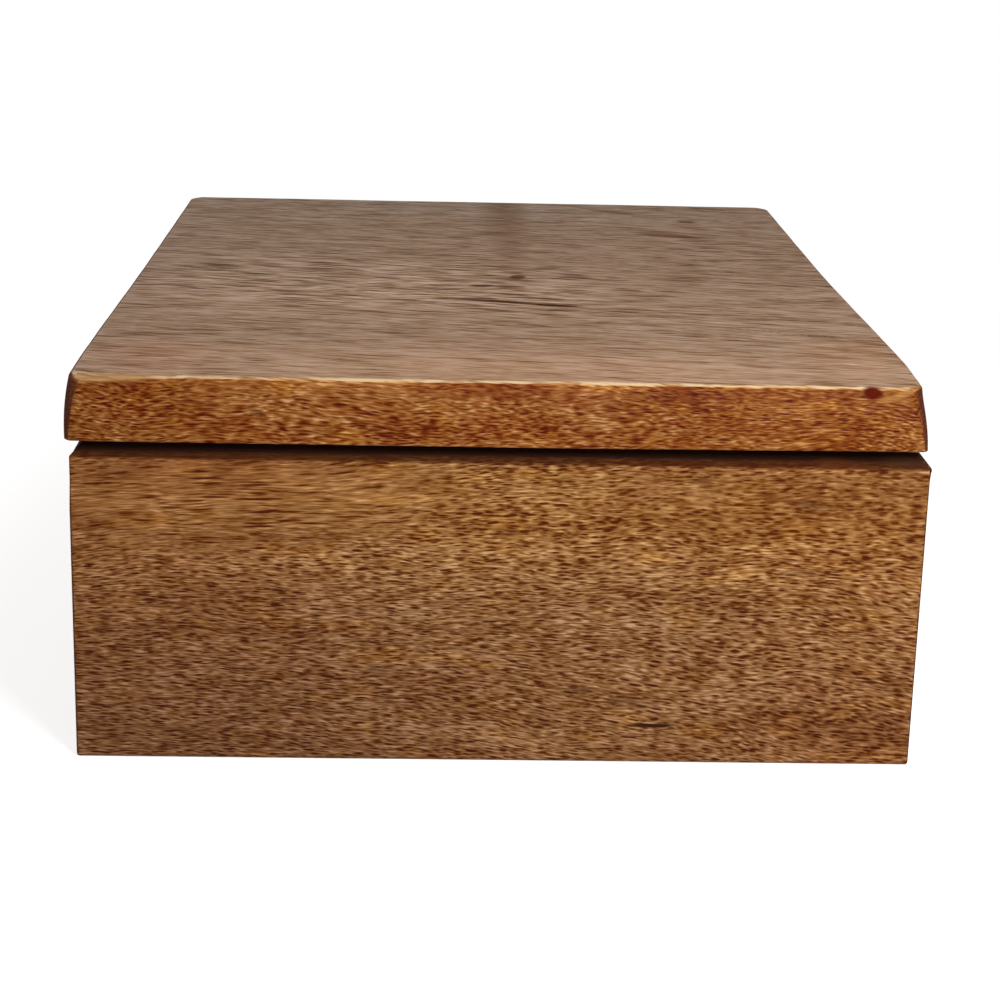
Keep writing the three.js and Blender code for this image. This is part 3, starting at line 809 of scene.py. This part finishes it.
def wood_places(n, look):
    """Places in the wood, and which way its surface faces.

    place is in metres. grain is in millimetres with x along the fibres. The grain fans out over a
    board: its slope is a start value, plus a gain with height, less a gain along the board, and
    fanned holds the places moved by that slope's sum over x. Slow waves and quick small ones then
    bend them, so that no line of the grain is straight.
    """
    seat = n.add("TexCoord")
    turned = n.add("Mapping", {
        "Vector": seat.outputs["Object"], "Location": look["offset"], "Rotation": look["turn"],
        "Scale": (1 / MM,) * 3,
    }).outputs[0]
    faces = {"Vector": seat.outputs["Normal"], "Rotation": look["turn"]}
    faces = n.add("SeparateXYZ", {0: n.add("Mapping", faces, vector_type="VECTOR").outputs[0]}).outputs
    pivot, start, with_height, along = look["fan"]
    mm = n.add("SeparateXYZ", {0: turned}).outputs
    beside = n.math("SUBTRACT", mm["X"], pivot)
    slope = n.math("MULTIPLY_ADD", mm["Z"], with_height, start)
    slope = n.math("MULTIPLY_ADD", beside, -along / 2, slope)
    lift = n.times(n.times(slope, beside), -1.0)
    fanned = n.vector("ADD", turned, n.add("CombineXYZ", {"Z": lift}).outputs[0])
    grain = fanned
    for cell, measure in FIBRE_WAVES:
        wave = n.vector("SUBTRACT", n.noise(turned, cell, 1, "Color"), (0.5, 0.5, 0.5))
        grain = n.vector("ADD", grain, n.vector("MULTIPLY", wave, (0, look[measure], look[measure])))
    w = SimpleNamespace(place=seat.outputs["Object"], fanned=fanned, grain=grain)
    w.level = n.times(n.add("SeparateXYZ", {0: w.place}).outputs["Z"], 1 / MM)
    w.sideways = faces["X"]
    w.endways = n.math("ABSOLUTE", faces["X"])
    w.upward = n.math("ABSOLUTE", faces["Z"])
    w.above = n.ramp(faces["Z"], *FACES_UP)
    w.flat = n.ramp(w.upward, *LIES_FLAT)
    w.bevel = n.times(window(n, w.upward, *BEVEL_LEANS), w.above)
    return w


# %% Pores and fibres
PATCH_CELL = 22, 6.5, 6.5
BAND_CELL = 190, 8, 8
FIBRE_CELL = 5, 0.30, 0.30
LINE_SIZE = 0.5


def pores(n, place, cell, size):
    """Dark dashes: 1 in the middle of a pore and 0 outside, each pore with its own strength."""
    scaled = n.vector("MULTIPLY", place, tuple(1 / side for side in cell))
    cells = n.add("TexVoronoi", {"Vector": scaled, "Scale": 1.0})
    mark = n.ramp(cells.outputs["Distance"], size, size * 0.4)
    own = n.add("SeparateColor", {0: cells.outputs["Color"]}).outputs[0]
    return n.times(mark, n.ramp(own, 0, 0.6, 0.3, 1))


def spot(n, place, centre, halves, turn=(0, 0, 0), core=0.35):
    """1 in the core of an ellipsoid and 0 outside it; centre and half sizes in mm, turn in degrees."""
    inputs = {
        "Vector": place, "Location": tuple(v * MM for v in centre), "Scale": tuple(v * MM for v in halves),
        "Rotation": tuple(math.radians(v) for v in turn),
    }
    scaled = n.add("Mapping", inputs, vector_type="TEXTURE").outputs[0]
    return n.ramp(n.vector("LENGTH", scaled), 1.0, core)


def wood_pattern(n, look, w):
    """Adds the noises and pores; each reads its own part of an endless pattern."""
    def away(x, y, z):
        return n.vector("ADD", w.grain, (x, y, z))

    w.patches = n.noise(w.grain, PATCH_CELL, 3)
    w.bands = n.noise(w.grain, BAND_CELL, 4)
    w.fibres = n.noise(w.grain, FIBRE_CELL, 1)
    w.ripple = n.noise(w.grain, look["ripple_cell"], 1)
    w.fine = n.noise(away(51, 17, 9), look["fine_cell"], 0)
    large = pores(n, w.grain, look["pore_cell"], look["pore_size"])
    small = pores(n, away(13.7, 5.1, 8.3), look["small_cell"], look["pore_size"])
    w.pore = n.math("MAXIMUM", large, small)
    w.lines = pores(n, away(21, 2.2, 7.9), look["line_cell"], LINE_SIZE)
    w.thin_lines = n.noise(away(7, 31, 3), look["thin_cell"], 1)
    w.warm = n.noise(away(90, 0, 40), (14, 5, 5), 2)


# %% Light and dark of the wood
UNDER_LINES = 0.25
SHOWS_END = 0.25, 0.9


def wood_detail(n, look, w):
    """The fine grain: short ripples and pores, or long lines where the board is streaky.

    Flat faces are streaky, less so below, and so are the spots of look["streaks"]. The spots of
    look["calm"] weaken the detail.
    """
    short = n.total(
        (n.centred(w.ripple), look["ripple"]), (n.centred(w.fine), look["fine"]), (w.pore, -look["pore"]),
    )
    long = n.total((w.lines, -look["line"]), (n.centred(w.thin_lines), look["thin_line"]))
    share = n.math("MULTIPLY_ADD", w.above, look["flat_lines"] - UNDER_LINES, UNDER_LINES)
    streaky = n.times(w.flat, share)
    for *where, strength in look["streaks"]:
        streaky = n.math("MAXIMUM", streaky, n.times(spot(n, w.place, *where), strength))
    detail = n.math("ADD", short, n.times(n.math("SUBTRACT", long, short), streaky))
    for *where, strength in look["calm"]:
        calm = n.times(spot(n, w.place, *where), strength)
        detail = n.times(detail, n.math("SUBTRACT", 1.0, calm))
    return detail


def wood_tone(n, look, w):
    """From dark 0 to pale 1: slow drifts and fine detail, darker end grain, painted shade on the bevel,
    and a paler upper edge that is partly wear and partly painted highlight.
    """
    slow = n.total((n.centred(w.patches), look["patches"]), (n.centred(w.bands), look["bands"]))
    slow = n.times(slow, n.ramp(w.flat, 0, 1, 1.0, look["flat_slow"]))
    worn_and_highlight = n.times(window(n, w.upward, *look["worn_and_highlight_at"]), n.ramp(w.patches, 0.3, 0.6, 0.35, 1.0))
    return n.total(
        (slow, 1.0), (n.centred(w.fibres), look["fibres"]), (w.detail, 1.0), (look["middle"], 1.0),
        (n.ramp(w.endways, *SHOWS_END), -look["end_dark"]), (n.times(worn_and_highlight, w.above), look["worn_and_highlight"]),
        (w.bevel, -look["bevel_painted_shade"]),
    )


# %% Colour of the wood
UNDER_PALE = 0.45
SIDE_DRIFT = 0.8
WARM_TINTS = (0.50, 0.75, "gold"), (0.46, 0.25, "rose")
# The facets at the upright corners cut end grain, which is darker; their colours add painted shade as
# well, most on the lid's right facet.
FACETS = (-1, 0.28, 0.45, "left_facet"), (1, 0.60, 0.76, "right_facet")
FACET_ENDS = 0.86, 0.96
# CREAM colours the pale line on the lid's upper edge: partly sanded-through wood, partly a painted
# highlight.
CREAM = 0.78, 0.58, 0.34
MARK_WOBBLE = 0.12 * MM


def ground_colour(n, look, w):
    """The tone in the board's shades, then drifts of gold and rose, then its spots of tint, some of them
    painted light.
    """
    tone = wood_tone(n, look, w)
    top = n.times(w.flat, n.ramp(w.above, 0, 1, UNDER_PALE, 1))
    colour = n.mix(top, n.shades(tone, look["shades"]), n.shades(tone, look["flat_shades"]))
    drift = n.ramp(w.flat, 0, 1, SIDE_DRIFT, look["flat_drift"])
    for start, full, tint in WARM_TINTS:
        colour = n.mix(n.times(n.ramp(w.warm, start, full), drift), colour, look[tint], "MULTIPLY")
    for *where, tint in look["tints"]:
        colour = n.mix(spot(n, w.place, *where, core=0.0), colour, tint, "MULTIPLY")
    return colour


def wear_and_painted_light(n, look, w, colour):
    """Adds wear and painted light, and gives back how dull each place is too.

    These are dark facets at the upright corners, darker end grain with painted shade on top; a ragged
    pale line on the lid's upper edge, partly wear and partly painted highlight; painted shadow on the
    bevel of the rim under the lid; and the board's own flaws, which follow the bends of the grain, with
    a few spots of painted shade among them.
    """
    dull = w.bevel
    for side, rise_from, rise_to, facet_colour in FACETS:
        facet = window(n, n.times(w.sideways, side), rise_from, rise_to, *FACET_ENDS)
        facet = n.times(facet, look["facet"])
        colour = n.mix(facet, colour, look[facet_colour])
        dull = n.math("MAXIMUM", dull, facet)
    # Painted highlight, partly wear too: a ragged pale line along the lid's rounded upper edge.
    ragged = n.times(n.centred(w.ripple), n.ramp(w.upward, 0.995, 0.93, 0, 0.35))
    ragged = n.math("ADD", ragged, w.upward)
    bare_and_highlight = n.times(window(n, ragged, *look["cream_at"]), n.ramp(w.thin_lines, 0.36, 0.56, 0.25, 1.0))
    bare_and_highlight = n.times(bare_and_highlight, n.times(w.above, n.ramp(w.endways, 0.40, 0.15)))
    colour = n.mix(n.times(bare_and_highlight, look["cream"]), colour, CREAM)
    # Painted shadow: the bevel under the lid's edge is darkened in two bands by height.
    for low, high, shadow_colour, strength in look["bevel_painted_shadow"]:
        colour = n.mix(n.times(n.times(w.bevel, n.ramp(w.level, low, high)), strength), colour, shadow_colour)
    wobble = n.vector("SCALE", n.vector("SUBTRACT", w.grain, w.fanned), scale=MARK_WOBBLE)
    wandering = n.vector("ADD", w.place, wobble)
    for *where, strength, mark_colour in look["marks_and_painted_shade"]:
        mask = n.times(spot(n, wandering, *where, core=0.5), strength)
        colour = n.mix(mask, colour, mark_colour)
        dull = n.math("MAXIMUM", dull, mask)
    return colour, dull


# %% Wood finish
def wood(name, look):
    """A finished wood material. look holds the colours and measures that differ between boards."""
    material, n = new_material(name)
    w = wood_places(n, look)
    wood_pattern(n, look, w)
    w.detail = wood_detail(n, look, w)
    colour, dull = wear_and_painted_light(n, look, w, ground_colour(n, look, w))
    height = n.total((w.detail, 1.0), (n.centred(w.fibres), 0.3))
    bump = n.add("Bump", {"Height": height, "Strength": 1.0, "Distance": look["bump"] * MM})
    rough = n.total((w.detail, -0.06), (n.centred(w.patches), 0.1), (dull, 0.5), (look["rough"], 1.0))
    shader = n.add("BsdfPrincipled", {
        "Base Color": colour, "Roughness": rough, "Normal": bump.outputs[0],
        "Specular IOR Level": look["specular"],
    })
    n.add("OutputMaterial", {"Surface": shader.outputs[0]})
    return material


# %% [markdown]
# The photographed box has a few marks of its own: a crack, a small knot, dark streaks and smudges. A few
# spots are painted shade instead: the crack's dark fill and near-black strokes in the groove under the
# lid.
# Each is a soft ellipsoid in the wood. Its two ends are given as the pixels where they show, and a
# ray from the camera finds the place on the lid's top or on the front, so that each mark sits on the
# wood itself and stays there in every view.

# %% Marks in the wood
MARK_DEPTH = 4
FACES = {
    "top": ((0, 0, 1), lid_high.z), "lid_front": ((0, 1, 0), lid_low.y + LID_LEAN * 0.8),
    "front": ((0, 1, 0), front_low.y),
}


def stroke(face, start, end, half_width):
    """Centre, half sizes and turn of a long mark between two pixels; half_width is in pixels too."""
    first, last = (photo_point(pixel, *FACES[face]) for pixel in (start, end))
    middle = ((start[0] + end[0]) / 2, (start[1] + end[1]) / 2)
    centre = photo_point(middle, *FACES[face])
    beside = photo_point((middle[0], middle[1] - half_width), *FACES[face])
    along = last - first
    half_length, half_across = along.length / 2 / MM, (beside - centre).length / MM
    if face == "top":
        lean = math.degrees(math.atan2(along.y, along.x))
        return tuple(centre / MM), (half_length, half_across, MARK_DEPTH), (0, 0, lean)
    lean = math.degrees(math.atan2(along.z, along.x))
    return tuple(centre / MM), (half_length, MARK_DEPTH, half_across), (0, -lean, 0)


def strokes(face, rows):
    """A spot for each row: two pixels and a half width, then a strength, a colour or both."""
    return [(*stroke(face, *row[:3]), *row[3:]) for row in rows]


print("reach of a mark on the top", [round(v, 1) for v in stroke("top", *CRACK_PIXELS, 2)[1]])

# %% [markdown]
# Each look is one table of plain numbers. Shades pair a tone with its colour. A spot is a centre, half
# sizes and, if it has one, a turn, followed by its strength, its tint or both. A cell is the size of
# one grain of a pattern in mm, with its length along the grain first.

# %% Look of the case
CASE_SHADES = [
    (0.0, (0.075, 0.01, 0.0002)), (0.15, (0.112, 0.024, 0.0008)), (0.35, (0.192, 0.067, 0.012)),
    (0.5, (0.258, 0.111, 0.035)), (0.65, (0.33, 0.158, 0.061)), (0.85, (0.46, 0.24, 0.11)),
    (1.0, (0.6, 0.36, 0.19)),
]
CASE_LOOK = {
    "turn": (0, 0, 0), "offset": (0, 0, 0), "fan": (0, 0, 0, 0), "bend": 5.5, "quick_bend": 0.7,
    "shades": CASE_SHADES, "flat_shades": CASE_SHADES, "middle": 0.63,
    "gold": (1.08, 1.0, 0.62), "rose": (0.95, 0.85, 0.88), "flat_drift": 0.8,
    "patches": 0.5, "bands": 0.4, "flat_slow": 1.0, "fibres": 0.35,
    "ripple": 0.9, "ripple_cell": (3.6, 0.62, 0.62), "fine": 1.1, "fine_cell": (2.7, 0.36, 0.36),
    "pore": 0.5, "pore_cell": (3.9, 0.85, 0.85), "small_cell": (2.8, 0.62, 0.62), "pore_size": 0.46,
    "line": 0.6, "line_cell": (11, 1.0, 1.0), "thin_line": 1.6, "thin_cell": (5, 0.45, 0.45),
    "flat_lines": 1.0, "end_dark": 0.2, "worn_and_highlight_at": (0.12, 0.3, 0.45, 0.6), "worn_and_highlight": 0.05,
    # The bevel's darker tone and its two bands, dark red-brown low down and near-black higher up, are
    # painted shadow under the lid's edge.
    "bevel_painted_shade": 0.2, "bevel_painted_shadow": [
        (73.5, 74.9, (0.05, 0.011, 0.002), 0.85), (75.1, 76.2, (0.022, 0.007, 0.003), 1.0),
    ],
    "cream": 0.0, "cream_at": (0.55, 0.72, 0.92, 0.985),
    "facet": 0.25, "left_facet": (0.1, 0.025, 0.008), "right_facet": (0.1, 0.025, 0.008),
    "bump": 0.1, "rough": 0.42, "specular": 0.12,
    "streaks": [], "calm": [], "tints": [], "marks_and_painted_shade": [],
}

# %% Look of the front
FRONT_LOOK = {
    **CASE_LOOK, "fan": (25, -0.13, 0.0023, 0.0004),
    "streaks": [
        ((-62, -125, 65), (66, 40, 16), (0, -3, 0), 0.85),
        ((66, -125, 67), (62, 40, 13), (0, 1, 0), 0.28),
    ],
    # These tints make the front paler and more golden at the top and darker at the lower left and just
    # below the rim: partly the wood's own colour, partly painted light from the upper right.
    "tints": [
        ((0, -125, 63), (190, 60, 27), (1.2, 1.15, 0.87)),
        ((-75, -125, 74), (80, 60, 14), (0.86, 0.73, 0.65)),
        ((5, -125, 10), (60, 60, 30), (0.95, 0.92, 0.9)),
        ((-50, -125, 57), (80, 60, 11), (1.05, 1.12, 1.3)),
        ((60, -125, 76), (90, 60, 7), (0.92, 0.82, 0.74)),
        ((-70, -125, 5), (100, 60, 60), (0.76, 0.69, 0.73)),
        ((90, -125, 50), (60, 60, 40), (1.1, 1.04, 0.9)),
        ((-85, -125, 50), (80, 60, 60), (0.95, 0.85, 0.74)),
        ((95, -125, 0), (80, 60, 40), (0.87, 0.73, 0.62)),
    ],
    # The first spot darkens the right end of the bevel under the lid: painted shadow.
    "marks_and_painted_shade": [((98, -122, 76), (12, 5, 2.2), 0.55, (0.06, 0.024, 0.012))] + strokes("front", [
        ((622, 725), (682, 726), 2.6, 0.97, (0.04, 0.007, 0.003)),
        ((560, 688), (604, 692), 5, 0.35, (0.11, 0.045, 0.02)),
        ((768, 577), (832, 573), 4, 0.35, (0.09, 0.03, 0.01)),
        ((806, 463), (866, 467), 7, 0.38, (0.12, 0.028, 0.006)),
        ((690, 482), (718, 484), 6, 0.4, (0.12, 0.028, 0.006)),
        ((786, 502), (832, 509), 8, 0.34, (0.1, 0.034, 0.012)),
        ((488, 531), (530, 535), 5, 0.45, (0.1, 0.03, 0.008)),
        ((358, 667), (404, 672), 7, 0.35, (0.11, 0.045, 0.02)),
        ((598, 700), (662, 705), 7, 0.28, (0.11, 0.045, 0.02)),
        # The last two strokes are painted shadow: near-black lines in the groove under the lid at its
        # right end.
        ((892, 444), (914, 453), 1.2, 0.85, (0.018, 0.008, 0.006)),
        ((902, 443), (920, 451), 1.0, 0.8, (0.018, 0.008, 0.006)),
    ]),
}

# %% Look of the lid
LID_SHADES = [
    (0.0, (0.085, 0.004, 0.0001)), (0.15, (0.13, 0.016, 0.0003)), (0.35, (0.202, 0.045, 0.003)),
    (0.5, (0.262, 0.079, 0.012)), (0.65, (0.325, 0.122, 0.028)), (0.85, (0.44, 0.195, 0.066)),
    (1.0, (0.6, 0.33, 0.14)),
]
TOP_SHADES = [
    (0.0, (0.1, 0.03, 0.006)), (0.2, (0.188, 0.081, 0.027)), (0.35, (0.286, 0.151, 0.07)),
    (0.5, (0.38, 0.223, 0.13)), (0.65, (0.475, 0.304, 0.204)), (0.85, (0.59, 0.403, 0.29)),
    (1.0, (0.68, 0.5, 0.375)),
]
LID_LOOK = {
    **CASE_LOOK, "turn": (0, 0, math.radians(8)), "offset": (37, 11, 5),
    "shades": LID_SHADES, "flat_shades": TOP_SHADES, "middle": 0.58,
    "gold": (1.12, 1.1, 0.6), "rose": (0.95, 0.76, 0.66), "flat_drift": 0.15,
    "patches": 0.8, "bands": 0.55, "flat_slow": 0.55,
    "ripple_cell": (5.0, 0.62, 0.62), "fine_cell": (3.2, 0.36, 0.36),
    "pore": 0.36, "pore_cell": (5.0, 0.8, 0.8), "small_cell": (3.6, 0.55, 0.55),
    "line": 0.52, "line_cell": (17, 1.3, 1.3), "thin_line": 1.5, "thin_cell": (10, 0.8, 0.8),
    "flat_lines": 0.7, "end_dark": 0.12, "worn_and_highlight_at": (0.4, 0.62, 0.8, 0.97), "worn_and_highlight": 0.3,
    "bevel_painted_shade": 0, "bevel_painted_shadow": [], "cream": 0.95,
    "facet": 0.85, "left_facet": (0.11, 0.027, 0.012), "right_facet": (0.072, 0.018, 0.01),
    "streaks": [((-30, -15, 93), (120, 70, 6), 1.3)],
    "calm": [((0, -120, 93), (160, 80, 6), 0.25)],
    # The first tint is a painted reflection: a narrow darker, redder band down the middle of the top,
    # where the finish mirrors a dark gap. The other tints lighten, darken and cool parts of the top and
    # the front: partly the wood's own colour, partly painted light and sheen.
    "tints": [((6.5, 125, 93), (11, 178, 8), (0.68, 0.53, 0.41))] + strokes("top", [
        ((-60, 359), (1060, 380), 36, (1.24, 1.18, 1.14)),
        ((40, 352), (260, 356), 30, (1.08, 0.96, 0.9)),
        ((760, 352), (960, 358), 30, (1.08, 0.98, 0.9)),
        ((-60, 285), (800, 293), 40, (1.16, 1.16, 1.14)),
        ((120, 180), (860, 190), 40, (0.94, 1.12, 1.32)),
    ]) + strokes("lid_front", [
        ((190, 388), (1060, 400), 10, (0.84, 0.72, 0.62)),
        ((60, 404), (200, 410), 20, (1.1, 1.12, 1.2)),
        ((40, 438), (960, 449), 18, (1.16, 1.16, 1.22)),
        ((570, 404), (660, 413), 18, (0.76, 0.62, 0.52)),
        ((450, 425), (565, 428), 13, (1.24, 1.28, 1.3)),
        ((200, 431), (280, 435), 12, (1.2, 1.25, 1.15)),
        ((180, 402), (236, 408), 11, (0.82, 0.7, 0.64)),
        ((640, 424), (1000, 430), 90, (0.88, 0.71, 0.42)),
    ]),
    # The first two strokes paint the crack near-black along its length: painted shade inside it, over the
    # shade of the real groove.
    "marks_and_painted_shade": strokes("top", [
        ((430, 297.3), (550, 304.3), 1.3, 0.95, (0.055, 0.018, 0.003)),
        ((516, 303), (594, 307.8), 1.3, 0.95, (0.055, 0.018, 0.003)),
        ((464, 285.6), (500, 286.2), 1.6, 0.92, (0.07, 0.023, 0.004)),
        ((490, 286), (530, 287.4), 1.4, 0.65, (0.1, 0.036, 0.01)),
        ((508, 276.4), (527, 278), 2.9, 0.88, (0.095, 0.034, 0.008)),
        ((628, 233.4), (708, 238.6), 2.2, 0.7, (0.13, 0.036, 0.01)),
        ((676, 220.6), (696, 223.4), 1.5, 0.65, (0.1, 0.038, 0.012)),
        ((566, 206), (652, 217.5), 1.3, 0.5, (0.13, 0.06, 0.025)),
    ]) + strokes("lid_front", [
        ((872, 402), (908, 397), 4, 0.45, (0.52, 0.25, 0.06)),
        ((890, 399), (928, 387), 4.5, 0.45, (0.52, 0.27, 0.08)),
        ((860, 392.5), (886, 394.5), 8, 1.0, (0.105, 0.007, 0.001)),
        ((30, 379), (180, 376.5), 6, 0.72, (0.46, 0.22, 0.06)),
        ((56, 366), (88, 372), 7, 0.85, (0.15, 0.052, 0.026)),
        ((246, 409), (270, 415), 5, 0.6, (0.11, 0.018, 0.003)),
    ]),
}

# %% Looks of the other boards
# A turn in degrees, an offset, the spot of a streak and the spot of a warm tint
OTHER_BOARDS = {
    "right": (-90, (310, 47, 0), ((100, -40, 62), (40, 100, 13), (3, 0, 0)),
              ((100, -60, 60), (50, 130, 24))),
    "back": (0, (-230, 60, 19), ((-35, 125, 45), (100, 40, 14), (0, 3, 0)),
             ((30, 125, 50), (110, 50, 30))),
    "left": (-90, (140, -70, 31), ((-100, 50, 28), (40, 110, 14), (-2, 0, 0)),
             ((-100, 20, 45), (50, 130, 30))),
}
STREAK_SHARE = 0.8
WARM = 1.20, 1.08, 0.82


def give_finish(piece, material):
    """Leaves the piece with this one material."""
    piece.data.materials.clear()
    piece.data.materials.append(material)


give_finish(lid_top, wood("lid_finish", LID_LOOK))
give_finish(boards["front"], wood("front_finish", FRONT_LOOK))
for side, (turn, offset, streak, warm) in OTHER_BOARDS.items():
    look = {**CASE_LOOK, "turn": (0, 0, math.radians(turn)), "offset": offset}
    look.update(streaks=[(*streak, STREAK_SHARE)], tints=[(*warm, WARM)])
    give_finish(boards[side], wood(side + "_finish", look))
give_finish(nodes["bottom_panel"], wood("panel_finish", {**CASE_LOOK, "offset": (55, 200, -40)}))
print("wood finishes on", 2 + len(OTHER_BOARDS), "pieces of timber and the bottom panel")

# %% Brass finish
BRUSHED_CELL = 3.3, 0.11, 0.11
CLOUD_CELL = 2.2, 2.2, 2.2
DULLED = 0.66
BRASS_METALLIC = 0.5


def brass_finish(name, colour, rough):
    """Dulled brass: fine brushing along the hinge, with cloudy darker patches."""
    material, n = new_material(name)
    place = n.vector("SCALE", n.add("TexCoord").outputs["Object"], scale=1 / MM)
    brushing = n.noise(place, BRUSHED_CELL, 2)
    clouds = n.noise(place, CLOUD_CELL, 3)
    tone = n.mix(n.ramp(clouds, 0.45, 0.75), colour, tuple(DULLED * part for part in colour))
    roughness = n.math("MULTIPLY_ADD", n.centred(brushing), 0.35, rough)
    roughness = n.math("MULTIPLY_ADD", n.centred(clouds), 0.3, roughness)
    bump = n.add("Bump", {"Height": brushing, "Strength": 0.5, "Distance": 0.01 * MM})
    shader = n.add("BsdfPrincipled", {
        "Base Color": tone, "Metallic": BRASS_METALLIC, "Roughness": roughness, "Normal": bump.outputs[0],
    })
    n.add("OutputMaterial", {"Surface": shader.outputs[0]})
    return material


brass_finishes = {
    "leaf": brass_finish("leaf_brass", (0.87, 0.61, 0.23), 0.38),
    "pin": brass_finish("pin_brass", (0.90, 0.67, 0.30), 0.30),
    "screw": brass_finish("screw_brass", (0.83, 0.57, 0.20), 0.34),
}
for name, piece in brass.items():
    give_finish(piece, brass_finishes[brass_kind(name)])
print(len(brass_finishes), "brass finishes")

# %% [markdown]
# Every new piece now takes the place of its model piece, which is hidden, and moves with the same half of
# the box. The lid and its leaves and screws turn, the rest stays.

# %% Pieces join the model
SHARP_TIMBER_DEGREES = 35
bodies = frame["record"]["behaviour"]["bodies"]
body_of_node = {node: body for body, members in bodies.items() for node in members}


def stand_for(piece, node):
    """The piece replaces the node and rides on the node's body."""
    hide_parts(node)
    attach(piece, body_of_node[node])


shade(lid_top, SHARP_TIMBER_DEGREES)
stand_for(lid_top, "lid_board")
for side, board in boards.items():
    shade(board, SHARP_TIMBER_DEGREES)
    stand_for(board, f"{side}_board")
for name, piece in brass.items():
    stand_for(piece, name)
